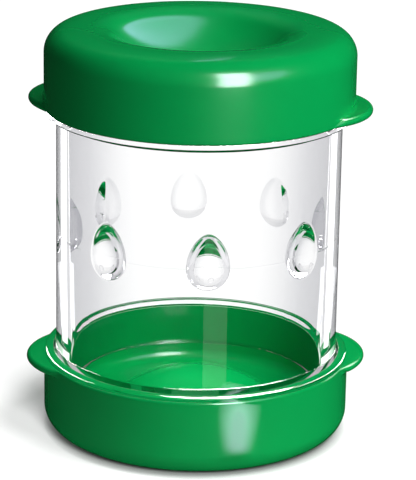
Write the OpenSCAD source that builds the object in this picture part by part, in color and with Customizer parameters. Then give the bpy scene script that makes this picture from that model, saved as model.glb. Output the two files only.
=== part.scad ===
// Shake-type egg peeler: a clear tube with moulded-in nubs and two identical push-on caps.
// The part stands on its bottom cap, +Z runs up the tube, and +X runs through the bottom cap's tabs.

/* [Tube] */
// Outside diameter of the clear tube
tube_d = 64; // [60:0.5:76]
// Thickness of the tube's wall
tube_wall = 3; // [2.2:0.1:4]
// Height of clear tube between the two cap rims
tube_span = 57.6; // [44:0.2:90]
// Length of each tube end that is pushed into a cap
skirt_l = 9.8; // [7:0.2:10.6]
// Chamfer that leads a tube end into its cap
skirt_chamfer = 0.6; // [0.2:0.1:1]

/* [Stop flanges] */
// How far a stop flange stands out from the tube
flange_reach = 2.5; // [1.6:0.1:2.6]
// Height of a flange's upright edge
flange_edge = 1.4; // [1.2:0.1:2]
// Height of the slope that blends a flange into the tube
flange_slope = 0.7; // [0.5:0.1:3]
// Rounding of a flange's two outer corners
flange_round = 0.6; // [0.2:0.05:0.6]
// Rounding where a flange's slope meets the tube
flange_root = 0.7; // [0.3:0.1:1]

/* [Nubs] */
// Number of nubs in the ring that cracks the shell
nub_count = 8; // [4:1:10]
// Radius of a nub's round lower end
nub_r = 5.05; // [4:0.05:6]
// How far a nub's own axis lies beyond the tube's bore, inside the wall
nub_sink = 1.85; // [1.2:0.05:2.4]
// Height of a nub's narrow end above its widest level
nub_rise = 7.9; // [5.5:0.1:11]

/* [Caps] */
// Thickness of a cap's wall and top
cap_wall = 2.7; // [1.8:0.1:3.4]
// Height of a cap from its rim to its crest
cap_h = 17.8; // [16.8:0.1:26]
// Radius of the shoulder between a cap's side and its top
shoulder_r = 5.2; // [4.2:0.1:6.4]
// Radius of the gentle curve between the shoulder and the standing ring
land_r = 24.4; // [14:0.2:40]
// Inside radius of the flat ring that a cap stands on
ring_r = 24; // [20:0.2:24.8]
// Width of that flat ring
ring_w = 2.5; // [1:0.1:3]
// Depth of the dish in the middle of a cap
dish_depth = 9.5; // [6:0.1:11]
// Radius of the rounded lip of the dish
lip_r = 8; // [5:0.1:12]
// Rounding of the rim's two edges
rim_round = 0.5; // [0.2:0.05:0.8]

/* [Tabs] */
// How far a tab stands out from a cap's side
tab_reach = 4; // [2:0.1:6]
// Radius of a tab's curved edge, seen from above
tab_r = 17.5; // [14:0.1:20]
// Thickness of a tab
tab_t = 1.8; // [1.2:0.1:3]
// Turn of the top cap's tabs about the tube, from those of the bottom cap
top_cap_turn = -14; // [-180:1:180]

/* [Fits] */
// Radial clearance between a tube end and its cap
cap_clearance = 0.05; // [0.02:0.01:0.1]

/* [Hidden] */
$fn = 96;

// Chords in a quarter turn of a rounded profile
arc_steps = 8;

tube_r = tube_d / 2;
bore_r = tube_r - tube_wall;
flange_r = tube_r + flange_reach;
cap_bore_r = tube_r + cap_clearance;
cap_r = cap_bore_r + cap_wall;

// Levels along the tube
low_rim_z = cap_h;
high_rim_z = cap_h + tube_span;
overall_h = high_rim_z + cap_h;
mid_z = overall_h / 2;

// Angle to which the dish's lip turns before the bowl begins, and the bowl's radius
dish_turn = 2 * atan(dish_depth / ring_r);
bowl_r = ring_r / sin(dish_turn) - lip_r;

// Angle at which the land curve hands over to the shoulder, and the two centres
land_x = ring_r + ring_w;
land_turn = asin((cap_r - land_x - shoulder_r) / (land_r - shoulder_r));
shoulder_x = cap_r - shoulder_r;
shoulder_z = land_r - (land_r - shoulder_r) * cos(land_turn);

// Where a flange's slope would meet the tube, the centre of its upper corner, how far the slope that touches that
// corner leans inwards, and the centre of its root
slope_to = [tube_r, flange_edge + flange_slope];
corner_c = [flange_r - flange_round, flange_edge - flange_round];
corner_v = corner_c - slope_to;
slope_turn = 90 + atan2(corner_v[1], corner_v[0]) + asin(flange_round / norm(corner_v));
root_c = slope_to + flange_root * [1, tan(slope_turn / 2)];

// The narrow end of a nub is one arc, tangent to the round end at the widest level
nub_height = nub_r - nub_sink;
nub_arc_r = (nub_rise * nub_rise + nub_height * nub_height) / (2 * nub_height);

tab_x = cap_r + tab_reach - tab_r;
tab_inner_r = cap_bore_r + cap_wall / 2;

// Points of an arc about c, from angle a0 to angle a1
function arc(c, r, a0, a1) =
    let (n = max(2, ceil(abs(a1 - a0) / 90 * arc_steps)))
    [for (i = [0 : n]) let (a = a0 + (a1 - a0) * i / n) c + r * [cos(a), sin(a)]];

// A list of points read backwards
function reversed(points) = [for (i = [len(points) - 1 : -1 : 0]) points[i]];

// A cap's skin from its axis to its rim, set in from the outside by a depth of wall
function cap_skin(depth) = concat(
    arc([0, dish_depth - bowl_r], bowl_r + depth, 90, 90 - dish_turn),
    arc([ring_r, lip_r], lip_r - depth, 270 - dish_turn, 270),
    arc([land_x, land_r], land_r - depth, 270, 270 + land_turn),
    arc([shoulder_x, shoulder_z], shoulder_r - depth, 270 + land_turn, 360));

// Half of a cap's wall: the outer skin, the rim with its rounded edges, and the inner skin
module cap_profile() {
    rim_out = arc([cap_r - rim_round, cap_h - rim_round], rim_round, 0, 90);
    rim_in = arc([cap_bore_r + rim_round, cap_h - rim_round], rim_round, 90, 180);
    polygon(concat(cap_skin(0), rim_out, rim_in, reversed(cap_skin(cap_wall))));
}

// A thin disc with a full-round edge, of which only the part outside the cap is left
module tab() {
    difference() {
        translate([tab_x, 0, cap_h - tab_t])
            rotate_extrude()
                polygon(concat(
                    [[0, 0]],
                    arc([tab_r - tab_t / 2, tab_t / 2], tab_t / 2, -90, 90),
                    [[0, tab_t]]));
        translate([0, 0, cap_h - 2 * tab_t])
            cylinder(r = tab_inner_r, h = 3 * tab_t);
    }
}

// A cap as it stands on its ring, open upwards, with a tab at each side
module cap() {
    rotate_extrude() cap_profile();
    for (side = [0, 180]) rotate([0, 0, side]) tab();
}

// One end of the tube's outside, from the tip of the skirt to the plain wall, above the rim's level
function tube_end() = concat(
    [[bore_r, skirt_chamfer - skirt_l],
     [bore_r + skirt_chamfer, -skirt_l],
     [tube_r - skirt_chamfer, -skirt_l],
     [tube_r, skirt_chamfer - skirt_l],
     [tube_r, 0]],
    arc([flange_r - flange_round, flange_round], flange_round, -90, 0),
    arc(corner_c, flange_round, 0, slope_turn),
    arc(root_c, flange_root, 180 + slope_turn, 180));

// Half of the tube's wall, the same at both ends
module tube_profile() {
    low = [for (p = tube_end()) [p[0], low_rim_z + p[1]]];
    high = [for (p = tube_end()) [p[0], high_rim_z - p[1]]];
    polygon(concat(low, reversed(high)));
}

// A drop-shaped nub, round below and narrow above, turned about its own upright axis
module nub() {
    round_end = arc([0, 0], nub_r, -90, 0);
    narrow_end = arc([nub_r - nub_arc_r, 0], nub_arc_r, 0, asin(nub_rise / nub_arc_r));
    top = narrow_end[len(narrow_end) - 1];
    rotate_extrude() polygon(concat(round_end, narrow_end, [[0, top[1]]]));
}

// The nubs stand out from the bore at mid height, and the outside of the tube stays plain
module nub_ring() {
    intersection() {
        for (i = [0 : nub_count - 1])
            rotate([0, 0, 360 * i / nub_count])
                translate([bore_r + nub_sink, 0, mid_z])
                    nub();
        translate([0, 0, mid_z - 2 * nub_r])
            cylinder(r = tube_r - tube_wall / 3, h = 2 * nub_r + 2 * nub_rise);
    }
}

module bottom_cap() {
    color("#05a44f") cap();
}

module tube() {
    color("#e8edf2", 0.35) {
        rotate_extrude() tube_profile();
        nub_ring();
    }
}

module top_cap() {
    color("#05a44f")
        translate([0, 0, overall_h])
            rotate([180, 0, top_cap_turn])
                cap();
}

bottom_cap();
tube();
top_cap();
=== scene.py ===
"""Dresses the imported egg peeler: a clear moulded tube with nubs inside, and two glossy green push-on caps."""
import math
from collections import namedtuple

import bpy
import numpy as np
from bpy.props import FloatProperty, FloatVectorProperty, IntProperty, PointerProperty
from mathutils import Matrix, Vector


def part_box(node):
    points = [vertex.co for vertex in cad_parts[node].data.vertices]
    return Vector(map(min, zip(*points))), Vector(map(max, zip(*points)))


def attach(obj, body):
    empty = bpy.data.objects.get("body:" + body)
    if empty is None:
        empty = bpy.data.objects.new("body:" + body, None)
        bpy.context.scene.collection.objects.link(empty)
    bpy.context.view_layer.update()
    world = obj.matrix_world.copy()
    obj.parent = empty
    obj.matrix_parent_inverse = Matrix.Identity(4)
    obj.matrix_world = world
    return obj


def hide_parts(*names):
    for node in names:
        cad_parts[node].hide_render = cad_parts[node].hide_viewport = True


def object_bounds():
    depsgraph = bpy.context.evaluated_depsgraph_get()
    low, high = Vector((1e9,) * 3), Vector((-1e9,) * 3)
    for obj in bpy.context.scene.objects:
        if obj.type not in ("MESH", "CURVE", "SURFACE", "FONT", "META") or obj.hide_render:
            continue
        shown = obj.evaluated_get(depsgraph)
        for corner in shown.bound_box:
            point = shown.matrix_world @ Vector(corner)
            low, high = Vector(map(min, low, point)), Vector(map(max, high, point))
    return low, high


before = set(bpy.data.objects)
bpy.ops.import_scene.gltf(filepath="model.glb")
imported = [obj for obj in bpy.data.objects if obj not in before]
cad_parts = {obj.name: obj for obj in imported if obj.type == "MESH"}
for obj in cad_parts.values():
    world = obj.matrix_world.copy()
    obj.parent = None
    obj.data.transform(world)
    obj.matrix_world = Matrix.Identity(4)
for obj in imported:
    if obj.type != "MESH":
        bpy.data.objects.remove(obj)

bl_info = {
    "name": "Egg peeler",
    "version": (1, 0, 0),
    "blender": (4, 5, 0),
    "location": "View3D > Sidebar > Peeler",
    "description": "Builds the clear tube, the caps and the studio of an egg peeler",
    "category": "Add Mesh",
}

MM = 0.001
CAD_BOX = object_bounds()
CAP_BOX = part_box("bottom_cap")
TUBE_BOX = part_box("tube")
PLAIN_WHITE = (1.0, 1.0, 1.0)
COOL_WHITE = (0.9, 0.95, 1.0)
SOFT_BLUE = (0.77, 0.72, 1.0)
SKY_BLUE = (0.5, 0.55, 1.0)

PIECES = ("clear_tube", "green_bottom_cap", "green_top_cap")
TUBE, BOTTOM_CAP, TOP_CAP = PIECES[:1], PIECES[1:2], PIECES[2:]

# Kinds of ray that meet a lamp: those that shade a surface, pass through the tube, or turn inside its wall
SHADING = ("diffuse",)
THROUGH = ("transmission",)
WITHIN = ("glossy", "transmission")

# Steps of a cap's grid round its axis, along its skin, and over its rim where a tab stands out
CAP_COLUMNS = 420
BOWL_ROWS, LIP_ROWS, LAND_ROWS, SHOULDER_ROWS, SIDE_ROWS = 22, 14, 5, 18, 4
FILLET_ROWS, UNDER_ROWS, EDGE_ROWS, TOP_ROWS, BORE_ROWS = 6, 6, 14, 5, 6

# Steps of the tube's grid: fine over a nub, within this angle to each side of it, and coarse elsewhere
NUB_SPAN = math.radians(10.8)
NUB_COLUMNS, GAP_COLUMNS = 50, 16
NARROW_ROWS, ROUND_ROWS, PLAIN_ROWS = 36, 24, 3
ROUNDING_STEP = math.radians(13)

# A lamp as the viewer sees it. place and facing run to the right, away and up, place in millimetres from
# the foot of the tube's axis. A lamp with no facing looks at the middle of the tube. roll and spread are in
# degrees, size in millimetres. rays are the kinds of ray that meet it, lights the only objects it lights.
Lamp = namedtuple(
    "Lamp", "name place size brightness facing roll tint outline rays lights spread",
    defaults=(None, 0, PLAIN_WHITE, "RECTANGLE", ("glossy",), PIECES, 180))


def patch_card(step):
    """One of the round cards behind the soft patch on the bottom cap, each a little higher and wider."""
    height = 6.3 + 0.06 * step
    size = (25 + 1.9 * step, 4.8 + 1.15 * step)
    return Lamp(f"patch_{step}", (14.4, -40.7, height), size, 1.3, (-41, 67, -62), 90, SOFT_BLUE, "ELLIPSE")


def pair(name, place, size, brightness, facing, rays):
    """The same strip of light at both sides of the tube. place and facing are those of the right one."""
    return [
        Lamp(f"{side}_{name}", (place[0] * sign, *place[1:]), size, brightness,
             (facing[0] * sign, *facing[1:]), rays=rays, lights=TUBE)
        for side, sign in (("left", -1), ("right", 1))]


LAMPS = (
    Lamp("key", (430, -374, 480), (500, 500), 7.7, rays=SHADING),
    Lamp("fill", (90, -500, 80), (300, 300), 1.1, rays=SHADING),
    Lamp("back", (-47, 534, 497), (400, 400), 5.3, rays=SHADING),
    Lamp("bowl_glow", (0, 0, 72), (40, 40), 2.4, (0, 0, -1), rays=SHADING, lights=BOTTOM_CAP, spread=95),
    Lamp("window", (211, -423, 327), (196, 600), 26.0, (-32, 90, -28), -4, COOL_WHITE),
    Lamp("window_tail", (500, -369, 423), (497, 305), 3.9, (-62, 60, -50), 55, SKY_BLUE, "ELLIPSE"),
    Lamp("dish_card", (8, 31, 122), (15.6, 64), 5.6, (-88, 21, -42), 78, SKY_BLUE, "ELLIPSE"),
    *map(patch_card, range(8)),
    Lamp("top_tab", (39.4, -10.6, 89.7), (16, 10), 3.2, (-4.8, -3.4, -12.7), lights=TOP_CAP, spread=60),
    Lamp("right_tab", (45.3, -2.1, 24.9), (16, 8), 1.2, (-9.3, -4.9, -7.4), lights=BOTTOM_CAP, spread=52),
    Lamp("left_tab", (-38.7, -12.2, 30.9), (10, 5), 0.6, (5, -1, -13), lights=BOTTOM_CAP, spread=60),
    Lamp("stripe_card", (12, -60, 38), (15, 56), 0.9, (-27, 96, 0), lights=TUBE),
    Lamp("edge_front", (122, -195, 213), (520, 500), 40.0, lights=TUBE),
    Lamp("edge_left", (-276, 117, 72), (450, 70), 30.0, lights=TUBE),
    Lamp("edge_right", (276, 117, 67), (450, 60), 25.0, lights=TUBE),
    *pair("band", (32.9, -4.6, 47), (3.1, 55), 1.8, (-98, -20, 0), THROUGH),
    *pair("foot", (31.1, -8.6, 18.7), (4.4, 1.75), 1.6, (-96, 27, 0), WITHIN),
    *pair("heel", (32.1, -3.2, 18.7), (6.4, 1.75), 0.9, (-100, 10, 0), WITHIN),
    *pair("side", (33.9, 3, 28.6), (3.8, 17), 0.8, (0, -1, 0), THROUGH),
)

# The floor's own soft suns: name, turn to the viewer's right, height and width in degrees, share of light
SUNS = (("floor_sun", 13, 34, 21, 0.58), ("floor_fill", 58, 60, 24, 0.42))


def length(name, description, millimetres):
    """A size in the panel, given in millimetres and kept in metres."""
    return FloatProperty(
        name=name, description=description, default=millimetres * MM, unit="LENGTH", precision=5)


def colour(name, description, value):
    """A colour in the panel, in linear light."""
    return FloatVectorProperty(
        name=name, description=description, default=value, subtype="COLOR", size=len(value), min=0.0, max=1.0)


def level(name, description, value):
    """A plain number in the panel."""
    return FloatProperty(name=name, description=description, default=value)


def angle(name, description, degrees):
    """An angle in the panel, given in degrees."""
    return FloatProperty(name=name, description=description, default=math.radians(degrees), subtype="ANGLE")


class TubeSizes(bpy.types.PropertyGroup):
    """Sizes of the clear tube"""
    radius: length("Radius", "Outside radius of the tube", 32.0)
    wall: length("Wall", "Thickness of the tube's wall", 3.0)
    chamfer: length("Lead-in", "Chamfer at the end of each skirt", 0.6)
    chamfer_round: length("Lead-in rounding", "Rounding of the chamfer's corners", 0.2)
    flange_edge: length("Flange edge", "Height at which a stop flange's edge and slope would meet", 1.2)
    flange_slope: length("Flange slope", "Height of the slope from flange to tube", 0.9)
    flange_round: length("Flange rounding", "Rounding between a flange's edge and its slope", 0.6)
    seat_round: length("Seat rounding", "Rounding between a flange's edge and its seat", 0.03)
    root_round: length("Slope root", "Rounding where the slope meets the tube", 0.25)
    neck_round: length("Neck rounding", "Rounding where a skirt meets its flange's seat", 0.1)
    seat_press: length("Seat press", "How deep the lower flange sits in its cap's rim", 0.02)
    seat_gap: length("Seat gap", "Air between the upper flange and its cap's rim", 0.03)
    line_height: length("Parting line", "How far the mould's parting line stands out of the bore", 0.035)
    line_width: length("Parting line width", "Width of the parting line's crest", 0.16)
    line_zone: length("Parting line zone", "Height to each side of the line that has its own rows", 0.5)


class NubSizes(bpy.types.PropertyGroup):
    """Sizes of the drop-shaped nubs inside the tube"""
    count: IntProperty(name="Count", description="Number of nubs round the bore", default=8, min=4, max=10)
    end_radius: length("End radius", "Radius of a nub's round lower end", 5.05)
    sink: length("Sink", "How far a nub's own axis lies beyond the bore", 1.85)
    rise: length("Rise", "Height of the narrow end above the widest level", 7.9)
    root_round: length("Root rounding", "Size of the fillet round a nub's foot", 0.45)


class CapSizes(bpy.types.PropertyGroup):
    """Sizes of a cap, standing on its ring and open upwards"""
    wall: length("Wall", "Thickness of the cap's wall and top", 2.7)
    shoulder_radius: length("Shoulder", "Radius between the side and the top", 5.2)
    land_radius: length("Land", "Radius of the gentle curve inside the shoulder", 24.4)
    ring_radius: length("Ring", "Inside radius of the flat standing ring", 24.0)
    ring_width: length("Ring width", "Width of the flat standing ring", 2.5)
    dish_depth: length("Dish depth", "Depth of the dish", 9.5)
    lip_radius: length("Dish lip", "Radius of the dish's rounded lip", 8.0)
    rim_round: length("Rim rounding", "Rounding of the rim's outer edge", 0.5)
    bore_round: length("Bore rounding", "Rounding of the rim's inner edge", 0.1)
    tab_radius: length("Tab radius", "Radius of a tab's curved edge, from above", 17.5)
    tab_thickness: length("Tab thickness", "Thickness of a tab", 1.8)
    tab_fillet: length("Tab fillet", "Fillet under a tab, where it leaves the side", 0.6)
    tab_ease: length("Tab ease", "How softly the ends of a tab's edge run into the side", 0.25)
    top_turn: angle("Top cap turn", "Turn of the top cap's tabs from those of the bottom cap", -14.0)


class Finishes(bpy.types.PropertyGroup):
    """Colours and gloss of the two plastics"""
    green: colour("Green", "Colour of the caps", (0.0016, 0.366, 0.080))
    green_deep: colour("Deep green", "Colour where the caps' pigment is densest", (0.0011, 0.335, 0.073))
    green_roughness: level("Green roughness", "Mean roughness of the caps", 0.19)
    clear: colour("Clear", "Tint of the tube's plastic", (0.955, 0.96, 0.965))
    # Painted dark outline: the tube's base colour darkens where its faces turn away from the eye
    clear_painted_outline: colour("Clear outline", "Clear plastic where it turns away from the eye", (0.30, 0.31, 0.32))
    clear_edge: colour("Clear edge", "What a face passes on at a slant", (0.87, 0.87, 0.88))
    clear_back: colour("Clear back", "What a total reflection passes on", (0.91, 0.91, 0.92))
    clear_ior: level("Clear IOR", "Refractive index of the tube's plastic", 1.55)
    clear_shadow: level("Clear shadow", "Share of light that each face of the tube lets through", 0.90)
    # Slant at which the painted dark outline starts
    painted_outline_start: level("Outline start", "Slant at which a face starts to darken, from 0 to 1", 0.7)
    slant_inside: level("Slant inside", "How much more slanted a face counts when it is met from inside", 1.4)
    turn_sharpness: level("Turn sharpness", "How sharply an inner face goes from clear to mirror", 6.0)
    turns: IntProperty(name="Turns", description="Mirrorings after which light leaves the wall", default=4)
    low_wall: length("Low wall", "Height below which light leaves the wall one mirroring sooner", 40.0)


class Studio(bpy.types.PropertyGroup):
    """Camera and light"""
    lens: level("Lens", "Focal length of the camera in millimetres, on a 36 mm frame", 188.7)
    distance: length("Distance", "From the camera to its target", 570.3)
    azimuth: angle("Azimuth", "Turn of the camera round the object", -4.88)
    elevation: angle("Elevation", "Height of the camera above the horizon", 17.14)
    roll: angle("Roll", "Roll of the camera", 1.01)
    target_right: length("Target right", "Sideways offset of the camera's target from the tube's axis", 2.37)
    target_height: length("Target height", "Height of the camera's target", 44.12)
    ambient: level("Ambient", "Strength of the room's even light", 0.05)
    mirrored: level("Mirrored room", "Strength of the room in reflections", 0.006)
    floor_lit: level("Floor", "How much of the suns' light the floor shows", 0.76)
    floor_own: level("Floor white", "The floor's own white, darker only close to the object", 0.30)
    # floor_touched and contact set the painted contact shadow round the object's foot
    floor_touched: level("Floor at the foot", "Share of the lit white right under the object", 0.30)
    floor_dim: level("Floor bounce", "How much light the floor throws back onto the object", 0.48)
    floor_far: level("Far bounce", "How much light the floor throws back far from the object", 0.1)
    bounce_start: length("Bounce start", "Distance from the axis at which the bounce starts to fall", 60.0)
    bounce_end: length("Bounce end", "Distance from the axis at which only the far bounce is left", 220.0)
    # How far the painted contact shadow reaches
    contact: length("Contact shadow", "How close to the object both whites of the floor are dimmed", 2.6)


def arc(x, z, radius, start, end, steps):
    """Points on a circle about (x, z), from angle start to angle end in degrees, counted from +x."""
    a = np.radians(np.linspace(start, end, steps + 1))
    return np.column_stack([x + radius * np.cos(a), z + radius * np.sin(a)])


def line(start, end, steps):
    """Points on a straight line, both ends included."""
    t = np.linspace(0.0, 1.0, steps + 1)[:, None]
    return (1 - t) * np.asarray(start) + t * np.asarray(end)


def rounded(corners, step):
    """An outline with each corner replaced by an arc that touches both of its sides.

    A corner is (x, z, radius). The arc's ends lie radius * tan(half the turn) from the corner, and its
    points come from turning about its centre, by at most step. The first and last corners stay sharp."""
    pieces = [np.array([corners[0][:2]])]
    for before, here, after in zip(corners, corners[1:], corners[2:]):
        p = np.array(here[:2])
        to_before = np.array(before[:2]) - p
        to_after = np.array(after[:2]) - p
        u = to_before / np.linalg.norm(to_before)
        v = to_after / np.linalg.norm(to_after)
        half = math.acos(np.clip(u @ v, -1, 1)) / 2
        bisector = (u + v) / np.linalg.norm(u + v)
        centre = p + bisector * here[2] / math.sin(half)
        first = p + u * here[2] / math.tan(half) - centre
        last = p + v * here[2] / math.tan(half) - centre
        turn = math.pi - 2 * half
        t = np.linspace(0.0, 1.0, math.ceil(turn / step) + 1)[:, None]
        pieces.append(centre + (np.sin((1 - t) * turn) * first + np.sin(t * turn) * last) / math.sin(turn))
    pieces.append(np.array([corners[-1][:2]]))
    return np.concatenate(pieces)


def lathe(radius, height, theta):
    """Cartesian grid of a surface of revolution whose profile may change with the angle.

    radius and height are (rows, columns), theta is (columns,): x = r cos t, y = r sin t, z = h."""
    return np.stack([radius * np.cos(theta), radius * np.sin(theta), height], axis=-1)


def grid_faces(rows, columns, ring):
    """Quads between neighbouring rows of a grid whose columns run round in a circle.

    With ring, the last row also joins the first, as on a torus."""
    i = np.arange(rows if ring else rows - 1)[:, None]
    j = np.arange(columns)[None, :]
    below, above = i * columns, (i + 1) % rows * columns
    right = (j + 1) % columns
    corners = np.broadcast_arrays(below + j, below + right, above + right, above + j)
    return np.stack(corners, -1).reshape(-1, 4)


def add_piece(name, vertices, faces, material, body):
    """A smooth mesh object in the row frame that rides on a body and stands for the node of the same name."""
    mesh = bpy.data.meshes.new(name)
    mesh.from_pydata(vertices.tolist(), [], faces)
    mesh.validate()
    mesh.polygons.foreach_set("use_smooth", np.ones(len(mesh.polygons), dtype=bool))
    mesh.materials.append(material)
    piece = bpy.data.objects.new(name, mesh)
    bpy.context.scene.collection.objects.link(piece)
    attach(piece, body)
    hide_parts(body)


class Wire:
    """A node's output with Python's arithmetic: each operator adds one Math node."""

    def __init__(self, graph, socket):
        self.graph = graph
        self.socket = socket

    def math(self, operation, *values):
        return self.graph.add("ShaderNodeMath", {"operation": operation}, dict(enumerate(values)))

    def __add__(self, other):
        return self.math("ADD", self, other)

    def __radd__(self, other):
        return self.math("ADD", other, self)

    def __sub__(self, other):
        return self.math("SUBTRACT", self, other)

    def __rsub__(self, other):
        return self.math("SUBTRACT", other, self)

    def __mul__(self, other):
        return self.math("MULTIPLY", self, other)

    def __rmul__(self, other):
        return self.math("MULTIPLY", other, self)

    def __pow__(self, other):
        return self.math("POWER", self, other)

    def larger(self, other):
        """The larger of two values."""
        return self.math("MAXIMUM", self, other)

    def over(self, low, high):
        """0 below low, 1 above high and a smooth step between."""
        return self.graph.add(
            "ShaderNodeMapRange", {"interpolation_type": "SMOOTHSTEP"},
            {"Value": self, "From Min": low, "From Max": high}, "Result")

    def reaches(self, count):
        """1 where a whole number is count or more, and 0 where it is less."""
        return self.over(count - 0.6, count - 0.4)


class Graph:
    """The node tree of a material or world, emptied and written from Python."""

    def __init__(self, owner):
        owner.use_nodes = True
        self.tree = owner.node_tree
        self.tree.nodes.clear()

    def add(self, kind, settings=None, sockets=None, output=0):
        """One node: its settings first, then the values or links of its sockets. Returns one output."""
        node = self.tree.nodes.new(kind)
        for key, value in (settings or {}).items():
            setattr(node, key, value)
        for key, value in (sockets or {}).items():
            if isinstance(value, Wire):
                self.tree.links.new(value.socket, node.inputs[key])
            else:
                node.inputs[key].default_value = value
        return Wire(self, node.outputs[output]) if len(node.outputs) else None

    def mix(self, factor, first, second):
        """Two colours mixed by a factor."""
        node_sockets = {0: factor, 6: first, 7: second}
        return self.add("ShaderNodeMix", {"data_type": "RGBA"}, node_sockets, 2)

    def noise(self, position, size, detail=2.0, roughness=0.5):
        """Fractal noise whose blobs are about size metres across."""
        sockets = {"Vector": position, "Scale": 1.0 / size, "Detail": detail, "Roughness": roughness}
        return self.add("ShaderNodeTexNoise", None, sockets, "Fac")

    def path(self, output):
        """One of Light Path's outputs."""
        return self.add("ShaderNodeLightPath", None, None, output)


def opaque(value):
    """A colour with full alpha, as a colour socket takes it."""
    return (*value, 1.0)


def grey(value):
    """A grey with full alpha."""
    return opaque([value] * 3)


def green_plastic(finish):
    """Glossy moulded plastic: faint pigment flow, a fine orange peel and slightly uneven gloss."""
    material = bpy.data.materials.new("cap_green")
    g = Graph(material)
    at = g.add("ShaderNodeTexCoord", None, None, "Object")
    flow = g.noise(at, 22 * MM, 3.0).over(0.3, 0.7)
    speck = g.noise(at, 0.5 * MM, 1.0)
    pigment = flow * 0.75 + speck * 0.25
    handled = g.noise(at, 9 * MM, 4.0, 0.6)
    peel = g.noise(at, 1.3 * MM, 1.0)
    bump = g.add("ShaderNodeBump", None, {"Strength": 0.12, "Distance": 0.02 * MM, "Height": peel}, "Normal")
    surface = g.add("ShaderNodeBsdfPrincipled", None, {
        "Base Color": g.mix(pigment, opaque(finish.green), opaque(finish.green_deep)),
        "Roughness": finish.green_roughness - 0.03 + handled * 0.06,
        "IOR": 1.5,
        "Normal": bump,
    })
    g.add("ShaderNodeOutputMaterial", None, {"Surface": surface})
    return material


def clear_plastic(finish):
    """Polished clear plastic: real refraction, a painted dark outline and a trace of moulding haze.

    Only the first face that is seen mirrors weakly. The ones behind it bend light, with a tint where they
    meet it at a slant, or mirror it totally, until it leaves the wall after a few mirrorings. Light from the
    lamps, and light that other surfaces throw back, goes straight through."""
    material = bpy.data.materials.new("clear_plastic")
    g = Graph(material)
    at = g.add("ShaderNodeTexCoord", None, None, "Object")
    haze = g.noise(at, 14 * MM, 4.0, 0.6).over(0.45, 0.75)
    polish = 0.004 + haze * 0.012
    ior = finish.clear_ior
    facing = g.add("ShaderNodeLayerWeight", None, {"Blend": 0.5}, "Facing")
    # Painted dark outline: the base colour darkens towards the silhouette, standing in for the dark reflections
    # there
    outline = facing.over(finish.painted_outline_start, 1.0)
    outside = g.add("ShaderNodeBsdfPrincipled", None, {
        "Base Color": g.mix(outline, opaque(finish.clear), opaque(finish.clear_painted_outline)),
        "Roughness": polish,
        "IOR": ior,
        "Transmission Weight": 1.0,
    })
    behind = g.add("ShaderNodeNewGeometry", None, None, "Backfacing")
    slant = (facing * (1.0 + behind * finish.slant_inside)).over(0.1, 0.5)
    straight, slanted = (
        g.add("ShaderNodeBsdfRefraction", None, {"Color": opaque(tint), "Roughness": polish, "IOR": ior})
        for tint in (PLAIN_WHITE, finish.clear_edge))
    bent = g.add("ShaderNodeMixShader", None, {0: slant, 1: straight, 2: slanted})
    turned_back = g.add(
        "ShaderNodeBsdfAnisotropic", None, {"Color": opaque(finish.clear_back), "Roughness": 0.0})
    total = g.add("ShaderNodeFresnel", None, {"IOR": ior}) ** finish.turn_sharpness
    inside = g.add("ShaderNodeMixShader", None, {0: total, 1: bent, 2: turned_back})
    glass = g.add("ShaderNodeMixShader", None, {0: g.path("Is Camera Ray"), 1: inside, 2: outside})
    clear = g.add("ShaderNodeBsdfTransparent", None, {"Color": grey(finish.clear_shadow)})
    passed = g.path("Transparent Depth").reaches(1)
    height = g.add("ShaderNodeSeparateXYZ", None, {"Vector": at}, "Z")
    low = 1.0 - height.over(finish.low_wall - MM, finish.low_wall)
    often = (g.path("Glossy Depth") + low).reaches(finish.turns)
    trapped = g.path("Is Singular Ray") * behind * (1.0 - passed) * (1.0 - often)
    mirrored = g.add("ShaderNodeMixShader", None, {0: trapped, 1: clear, 2: inside})
    seen = g.add("ShaderNodeMixShader", None, {0: g.path("Is Reflection Ray"), 1: glass, 2: mirrored})
    surface = g.add("ShaderNodeMixShader", None, {0: g.path("Is Shadow Ray"), 1: seen, 2: clear})
    g.add("ShaderNodeOutputMaterial", None, {"Surface": surface})
    return material


def cap_skin(cap, radius, depth):
    """A cap's skin from its axis to its side, set in from the outside by a depth of wall.

    Four arcs and a flat, each tangent to the next: the bowl of the dish, its lip, the flat ring, the land and
    the shoulder. The bowl and the lip share the turn 2 atan(dish depth / ring radius)."""
    turn = 2 * math.atan(cap.dish_depth / cap.ring_radius)
    bowl = cap.ring_radius / math.sin(turn) - cap.lip_radius
    land_x = cap.ring_radius + cap.ring_width
    land_turn = math.asin((radius - land_x - cap.shoulder_radius) / (cap.land_radius - cap.shoulder_radius))
    shoulder_z = cap.land_radius - (cap.land_radius - cap.shoulder_radius) * math.cos(land_turn)
    turn, land_turn = math.degrees(turn), math.degrees(land_turn)
    return np.concatenate([
        arc(0, cap.dish_depth - bowl, bowl + depth, 90, 90 - turn, BOWL_ROWS),
        arc(cap.ring_radius, cap.lip_radius, cap.lip_radius - depth, 270 - turn, 270, LIP_ROWS)[1:],
        arc(land_x, cap.land_radius, cap.land_radius - depth, 270, 270 + land_turn, LAND_ROWS),
        arc(radius - cap.shoulder_radius, shoulder_z, cap.shoulder_radius - depth,
            270 + land_turn, 360, SHOULDER_ROWS)[1:],
    ])


def tab_reach(theta, cap, radius, tip):
    """How far a tab stands out of the side at each angle.

    Seen from above its edge is part of a circle. Its ends run softly into the side: a height p above the side
    becomes (p + sqrt(p^2 + ease^2)) / 2, stretched so that it goes from 0 to the full reach."""
    centre = tip - cap.tab_radius
    off_axis = (theta + math.pi / 2) % math.pi - math.pi / 2
    half_chord = cap.tab_radius ** 2 - (centre * np.sin(off_axis)) ** 2
    edge = centre * np.cos(off_axis) + np.sqrt(np.maximum(half_chord, 0.0))
    proud = np.where(half_chord > 0, edge - radius, -radius)
    eased = (proud + np.hypot(proud, cap.tab_ease)) / 2
    eased = eased - eased.min()
    return eased * proud.max() / eased.max()


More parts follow.
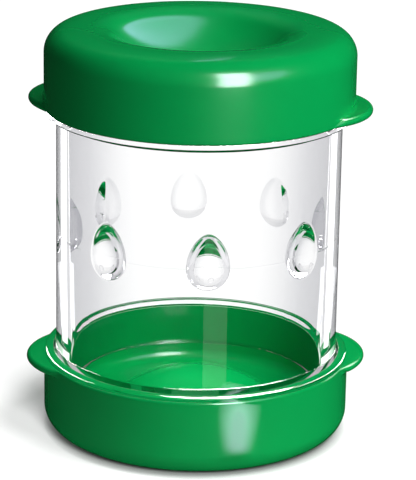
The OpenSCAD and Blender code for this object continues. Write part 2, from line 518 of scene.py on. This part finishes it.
def rim_rows(cap, theta):
    """Radius and height of the rows from a cap's side over its rim to the bore, at each angle.

    Two outlines have equal numbers of rows, the plain rim and the rim with a tab. Each column moves from the
    first towards the second as far as the tab stands out there."""
    radius, height, tip = CAP_BOX[1].y, CAP_BOX[1].z, CAP_BOX[1].x
    fillet_r, round_r, half = cap.tab_fillet, cap.rim_round, cap.tab_thickness / 2
    under = height - cap.tab_thickness
    last_r = radius - cap.wall + cap.bore_round
    plain = np.concatenate([
        line((radius, under - fillet_r), (radius, height - round_r), FILLET_ROWS + UNDER_ROWS)[1:],
        arc(radius - round_r, height - round_r, round_r, 0, 90, EDGE_ROWS)[1:],
        line((radius - round_r, height), (last_r, height), TOP_ROWS)[1:],
    ])
    reach = tab_reach(theta, cap, radius, tip)
    least = fillet_r + half
    full = np.maximum(reach, least) + radius - half
    fillet = arc(radius + fillet_r, under - fillet_r, fillet_r, 180, 90, FILLET_ROWS)[1:]
    edge = arc(0, under + half, half, -90, 90, EDGE_ROWS)[1:]
    out = np.linspace(0.0, 1.0, UNDER_ROWS + 1)[1:, None]
    back = np.linspace(0.0, 1.0, TOP_ROWS + 1)[1:, None]
    tab_r = np.concatenate([
        np.repeat(fillet[:, :1], len(theta), 1),
        (1 - out) * (radius + fillet_r) + out * full,
        edge[:, :1] + full,
        (1 - back) * full + back * last_r,
    ])
    levels = [fillet[:, 1], np.full(UNDER_ROWS, under), edge[:, 1], np.full(TOP_ROWS, height)]
    tab_z = np.concatenate(levels)[:, None]
    share = np.minimum(reach / least, 1.0)
    plain_r, plain_z = plain[:, :1], plain[:, 1:]
    return plain_r + (tab_r - plain_r) * share, plain_z + (tab_z - plain_z) * share


def cap_grid(cap):
    """Rows and columns of a cap: its profile turned once, from the outer pole over the rim to the inner."""
    radius, height = CAP_BOX[1].y, CAP_BOX[1].z
    bore, bore_round = radius - cap.wall, cap.bore_round
    theta = np.linspace(0.0, 2 * math.pi, CAP_COLUMNS, endpoint=False)
    outer, inner = cap_skin(cap, radius, 0.0), cap_skin(cap, radius, cap.wall)[::-1]
    side_end = (radius, height - cap.tab_thickness - cap.tab_fillet)
    before = np.concatenate([outer, line(outer[-1], side_end, SIDE_ROWS)[1:]])
    after = np.concatenate([
        arc(bore + bore_round, height - bore_round, bore_round, 90, 180, BORE_ROWS)[1:],
        line((bore, height - bore_round), inner[0], SIDE_ROWS)[1:-1],
        inner,
    ])
    before, after = (np.repeat(rows[:, None], CAP_COLUMNS, 1) for rows in (before, after))
    rim_r, rim_z = rim_rows(cap, theta)
    r = np.concatenate([before[..., 0], rim_r, after[..., 0]])
    z = np.concatenate([before[..., 1], rim_z, after[..., 1]])
    return lathe(r, z, theta)


def pole_mesh(grid):
    """Vertices and faces of a closed grid whose first and last rows have shrunk to a point."""
    rows, columns = grid.shape[0] - 2, grid.shape[1]
    vertices = np.concatenate([grid[1:-1].reshape(-1, 3), grid[0, :1], grid[-1, :1]])
    first, last = rows * columns, rows * columns + 1
    j = np.arange(columns)
    right = (j + 1) % columns
    bottom = (rows - 1) * columns
    fans = np.concatenate([
        np.column_stack([right, j, np.full(columns, first)]),
        np.column_stack([bottom + j, bottom + right, np.full(columns, last)]),
    ])
    return vertices, grid_faces(rows, columns, False).tolist() + fans.tolist()


def nub_radius(theta, z, nub, bore, middle):
    """Distance from the tube's axis to its inner surface, with the nubs.

    A nub is a body turned about an upright axis just inside the wall. Its own radius q is that of a sphere
    below the middle level and of a long arc above it. Where the nub reaches past the bore, the surface is
    c - sqrt(q^2 - s^2), with c and s the axis's distances along and across the radius. A smooth minimum
    joins it to the bore with a fillet."""
    axis = bore + nub.sink
    pitch = 2 * math.pi / nub.count
    off = (theta + pitch / 2) % pitch - pitch / 2
    along, across = axis * np.cos(off), axis * np.sin(off)
    h = z - middle
    proud = nub.end_radius - nub.sink
    long_arc = (nub.rise ** 2 + proud ** 2) / (2 * proud)
    low = np.sqrt(np.maximum(nub.end_radius ** 2 - h ** 2, 0.0))
    high = nub.end_radius - long_arc + np.sqrt(np.maximum(long_arc ** 2 - h ** 2, 0.0))
    q = np.maximum(np.where(h < 0, low, high), 0.0)
    inside = q ** 2 - across ** 2
    surface = np.where(inside > 0, along - np.sqrt(np.maximum(inside, 0.0)), axis)
    blend = np.maximum(nub.root_round - np.abs(surface - bore), 0.0) / nub.root_round
    return np.minimum(surface, bore) - blend ** 2 * nub.root_round / 4


def tube_angles(nub):
    """Angles of the grid's columns: close together over each nub and wide apart between nubs."""
    pitch = 2 * math.pi / nub.count
    over = np.linspace(-NUB_SPAN, NUB_SPAN, NUB_COLUMNS, endpoint=False)
    between = np.linspace(NUB_SPAN, pitch - NUB_SPAN, GAP_COLUMNS, endpoint=False)
    sector = np.concatenate([over, between])
    return (np.arange(nub.count)[:, None] * pitch + sector).ravel()


def tube_end(tube, seat):
    """Corners of the lower end's outline, from the bore round the skirt and the flange to the plain wall.

    seat is the height of the flange's lower face."""
    low, flange = TUBE_BOX[0].z, TUBE_BOX[1].x
    bore, edge = tube.radius - tube.wall, CAP_BOX[1].z + tube.flange_edge
    ch, cr = tube.chamfer, tube.chamfer_round
    return [
        (bore, low + ch, cr),
        (bore + ch, low, cr),
        (tube.radius - ch, low, cr),
        (tube.radius, low + ch, cr),
        (tube.radius, seat, tube.neck_round),
        (flange, seat, tube.seat_round),
        (flange, edge, tube.flange_round),
        (tube.radius, edge + tube.flange_slope, tube.root_round),
    ]


def tube_grid(tube, nub):
    """Rows and columns of the tube: its outside from the lower tip to the upper one, then the bore back down.

    The parting line is a low ridge round the bore, whose height falls as exp(-(h / half its width)^2)."""
    rim, low, overall = CAP_BOX[1].z, TUBE_BOX[0].z, CAD_BOX[1].z
    middle = overall / 2
    bore = tube.radius - tube.wall
    lower = tube_end(tube, rim - tube.seat_press)
    upper = [(r, overall - z, e) for r, z, e in reversed(tube_end(tube, rim + tube.seat_gap))]
    margin = 3 * tube.chamfer
    start, stop = (bore, low + margin, 0.0), (bore, overall - low - margin, 0.0)
    outside = rounded([start, *lower, *upper, stop], ROUNDING_STEP)
    foot, head = middle - nub.end_radius, middle + nub.rise + nub.root_round
    fine = tube.line_width * np.array([1.5, 1.0, 0.5, 0.0, -0.5, -1.0, -1.5])
    bore_z = np.concatenate([
        np.linspace(stop[1], head, PLAIN_ROWS + 2)[1:-1],
        np.linspace(head, middle + tube.line_zone, NARROW_ROWS),
        middle + fine,
        np.linspace(middle - tube.line_zone, foot, ROUND_ROWS),
        np.linspace(foot, start[1], PLAIN_ROWS + 2)[1:-1],
    ])
    theta = tube_angles(nub)
    inner_r = nub_radius(theta[None, :], bore_z[:, None], nub, bore, middle)
    crest = np.exp(-((bore_z - middle) / (tube.line_width / 2)) ** 2)
    inner_r = inner_r - tube.line_height * crest[:, None]
    r = np.concatenate([np.repeat(outside[:, :1], len(theta), 1), inner_r])
    z = np.repeat(np.concatenate([outside[:, 1], bore_z])[:, None], len(theta), 1)
    return lathe(r, z, theta)


class PEELER_OT_tube(bpy.types.Operator):
    """Builds the clear tube with its flanges, skirts and nubs"""
    bl_idname = "peeler.tube"
    bl_label = "Clear tube"

    def execute(self, context):
        scene = context.scene
        material = clear_plastic(scene.peeler_finishes)
        grid = tube_grid(scene.peeler_tube, scene.peeler_nubs)
        faces = grid_faces(grid.shape[0], grid.shape[1], True).tolist()
        add_piece("clear_tube", grid.reshape(-1, 3), faces, material, "tube")
        return {"FINISHED"}


class PEELER_OT_caps(bpy.types.Operator):
    """Builds the two green caps: the same moulding, once upright and once turned over"""
    bl_idname = "peeler.caps"
    bl_label = "Caps"

    def execute(self, context):
        scene = context.scene
        cap = scene.peeler_caps
        material = green_plastic(scene.peeler_finishes)
        vertices, faces = pole_mesh(cap_grid(cap))
        add_piece("green_bottom_cap", vertices, faces, material, "bottom_cap")
        turn, overall = cap.top_turn, CAD_BOX[1].z
        x, y, z = vertices[:, 0], -vertices[:, 1], overall - vertices[:, 2]
        turned = np.column_stack([
            x * math.cos(turn) - y * math.sin(turn), x * math.sin(turn) + y * math.cos(turn), z])
        add_piece("green_top_cap", turned, faces, material, "top_cap")
        return {"FINISHED"}


def toward(azimuth, elevation):
    """Unit vector from the object: azimuth 0 is the viewer's side and grows to the right."""
    level_part = math.cos(elevation)
    return Vector((math.sin(azimuth) * level_part, -math.cos(azimuth) * level_part, math.sin(elevation)))


def place_camera(studio):
    """The camera at the photograph's angle, with its roll."""
    data = bpy.data.cameras.new("camera")
    data.lens = studio.lens
    data.sensor_width = 36.0
    data.clip_start, data.clip_end = 0.01, 20.0
    camera = bpy.data.objects.new("camera", data)
    bpy.context.scene.collection.objects.link(camera)
    back = toward(studio.azimuth, studio.elevation)
    right = Vector((math.cos(studio.azimuth), math.sin(studio.azimuth), 0.0))
    up = back.cross(right)
    c, s = math.cos(studio.roll), math.sin(studio.roll)
    target = right * studio.target_right + Vector((0, 0, studio.target_height))
    turned = Matrix((right * c + up * s, up * c - right * s, back)).transposed()
    camera.matrix_world = Matrix.Translation(target + back * studio.distance) @ turned.to_4x4()
    bpy.context.scene.camera = camera


def gathered(name, pieces):
    """A collection of objects by name, for a lamp's links."""
    group = bpy.data.collections.new(name)
    for piece in pieces:
        group.objects.link(bpy.data.objects[piece])
    return group


def add_lamp(axes, lamp):
    """An area lamp as bright as a white card of that brightness. Only the rays that it names meet it.

    Its width lies level, or along the viewer's right where it looks straight up or down."""
    data = bpy.data.lights.new(lamp.name, "AREA")
    data.shape = lamp.outline
    data.size, data.size_y = lamp.size[0] * MM, lamp.size[1] * MM
    fill = math.pi / 4 if lamp.outline == "ELLIPSE" else 1.0
    data.energy = lamp.brightness * math.pi * data.size * data.size_y * fill
    data.color = lamp.tint
    data.spread = math.radians(lamp.spread)
    piece = bpy.data.objects.new(lamp.name, data)
    bpy.context.scene.collection.objects.link(piece)
    spot = axes @ Vector(lamp.place) * MM
    middle = Vector((0, 0, CAD_BOX[1].z / 2))
    back = -(axes @ Vector(lamp.facing) if lamp.facing else middle - spot).normalized()
    upright = abs(back.z) > 0.999
    across = axes @ Vector((1, 0, 0)) if upright else Vector((0, 0, 1)).cross(back)
    across.normalize()
    turned = Matrix((across, back.cross(across), back)).transposed().to_4x4()
    piece.matrix_world = Matrix.Translation(spot) @ turned @ Matrix.Rotation(math.radians(lamp.roll), 4, "Z")
    piece.visible_camera = False
    for ray in ("diffuse", "glossy", "transmission"):
        setattr(piece, "visible_" + ray, ray in lamp.rays)
    piece.light_linking.receiver_collection = gathered(lamp.name + "_lights", lamp.lights)


def add_lamps(studio):
    """All lamps, turned with the viewer round the tube's axis."""
    axes = Matrix.Rotation(studio.azimuth, 3, "Z")
    for lamp in LAMPS:
        add_lamp(axes, lamp)


def add_sun(studio, name, right, height, width, share):
    """A soft sun that lights the floor alone and throws only the bottom cap's shadow."""
    data = bpy.data.lights.new(name, "SUN")
    data.energy = share * math.pi / math.sin(math.radians(height))
    data.angle = math.radians(width)
    sun = bpy.data.objects.new(name, data)
    bpy.context.scene.collection.objects.link(sun)
    back = toward(studio.azimuth + math.radians(right), math.radians(height))
    sun.matrix_world = back.to_track_quat("Z", "Y").to_matrix().to_4x4()
    sun.light_linking.receiver_collection = gathered(name + "_lights", ("floor",))
    sun.light_linking.blocker_collection = gathered(name + "_blockers", BOTTOM_CAP)


def seen_directly(g):
    """1 for rays that look at the background straight, through the tube or after a total reflection in it."""
    through = g.path("Is Camera Ray").larger(g.path("Is Transmission Ray"))
    return through.larger(g.path("Is Singular Ray"))


def pale_floor(studio):
    """White floor that keeps the shadow: part of its white is its own, the rest is lit by the suns.

    Both are dimmed right at the object by an ambient occlusion factor, a painted contact shadow. The light
    that it throws back falls with the distance from the axis, and mirrored it is dim."""
    material = bpy.data.materials.new("pale_floor")
    g = Graph(material)
    # Painted contact shadow: ambient occlusion darkens the floor's own white and its lit white at the object's
    # foot
    open_sky = g.add("ShaderNodeAmbientOcclusion", {"samples": 8}, {"Distance": studio.contact}, "AO")
    open_white = g.mix(open_sky, grey(studio.floor_lit * studio.floor_touched), grey(studio.floor_lit))
    lit = g.add("ShaderNodeBsdfDiffuse", None, {"Color": open_white})
    own = g.add("ShaderNodeEmission", None, {"Strength": open_sky * studio.floor_own})
    white = g.add("ShaderNodeAddShader", None, {0: lit, 1: own})
    at = g.add("ShaderNodeTexCoord", None, None, "Object")
    distance = g.add("ShaderNodeVectorMath", {"operation": "LENGTH"}, {0: at}, "Value")
    away = distance.over(studio.bounce_start, studio.bounce_end)
    bounce = g.mix(away, grey(studio.floor_dim), grey(studio.floor_far))
    thrown = g.mix(g.path("Is Glossy Ray"), bounce, grey(studio.mirrored))
    dim = g.add("ShaderNodeBsdfDiffuse", None, {"Color": thrown})
    surface = g.add("ShaderNodeMixShader", None, {0: seen_directly(g), 1: dim, 2: white})
    g.add("ShaderNodeOutputMaterial", None, {"Surface": surface})
    return material


def add_floor(studio):
    """A round floor, wide enough to fill the frame."""
    spokes, reach = 64, 3.0
    a = np.linspace(0.0, 2 * math.pi, spokes, endpoint=False)
    rim = np.column_stack([reach * np.cos(a), reach * np.sin(a), np.zeros(spokes)])
    mesh = bpy.data.meshes.new("floor")
    mesh.from_pydata(rim.tolist(), [], [list(range(spokes))])
    mesh.materials.append(pale_floor(studio))
    floor = bpy.data.objects.new("floor", mesh)
    bpy.context.scene.collection.objects.link(floor)


def light_room(studio):
    """White where the background is looked at, dim and even on surfaces, and darker in reflections."""
    world = bpy.data.worlds.new("room")
    bpy.context.scene.world = world
    g = Graph(world)
    dim = studio.ambient - g.path("Is Glossy Ray") * (studio.ambient - studio.mirrored)
    sky = g.add("ShaderNodeBackground", None, {
        "Color": opaque(PLAIN_WHITE),
        "Strength": dim.larger(seen_directly(g)),
    })
    g.add("ShaderNodeOutputWorld", None, {"Surface": sky})


class PEELER_OT_stage(bpy.types.Operator):
    """Sets the camera, the pale floor and the soft light"""
    bl_idname = "peeler.stage"
    bl_label = "Studio"

    def execute(self, context):
        scene = context.scene
        studio = scene.peeler_studio
        scene.view_settings.view_transform = "Standard"
        scene.cycles.max_bounces = 24
        scene.cycles.glossy_bounces = 12
        scene.cycles.transmission_bounces = 16
        place_camera(studio)
        add_floor(studio)
        light_room(studio)
        add_lamps(studio)
        for sun in SUNS:
            add_sun(studio, *sun)
        return {"FINISHED"}


class PEELER_PT_panel(bpy.types.Panel):
    """Lists the pieces and their sizes"""
    bl_idname = "PEELER_PT_panel"
    bl_label = "Egg peeler"
    bl_space_type = "VIEW_3D"
    bl_region_type = "UI"
    bl_category = "Peeler"

    def draw(self, context):
        for group in GROUPS:
            box = self.layout.box()
            settings = getattr(context.scene, group)
            for name in settings.bl_rna.properties.keys():
                if name not in {"rna_type", "name"}:
                    box.prop(settings, name)
        for operator in OPERATORS:
            self.layout.operator(operator.bl_idname)


GROUPS = {
    "peeler_tube": TubeSizes,
    "peeler_nubs": NubSizes,
    "peeler_caps": CapSizes,
    "peeler_finishes": Finishes,
    "peeler_studio": Studio,
}
OPERATORS = (PEELER_OT_caps, PEELER_OT_tube, PEELER_OT_stage)


def register():
    for cls in (*GROUPS.values(), *OPERATORS, PEELER_PT_panel):
        bpy.utils.register_class(cls)
    for name, group in GROUPS.items():
        setattr(bpy.types.Scene, name, PointerProperty(type=group))


def unregister():
    for name in GROUPS:
        delattr(bpy.types.Scene, name)
    for cls in reversed((*GROUPS.values(), *OPERATORS, PEELER_PT_panel)):
        bpy.utils.unregister_class(cls)


def main():
    register()
    bpy.ops.peeler.caps()
    bpy.ops.peeler.tube()
    bpy.ops.peeler.stage()


if __name__ == "__main__":
    main()
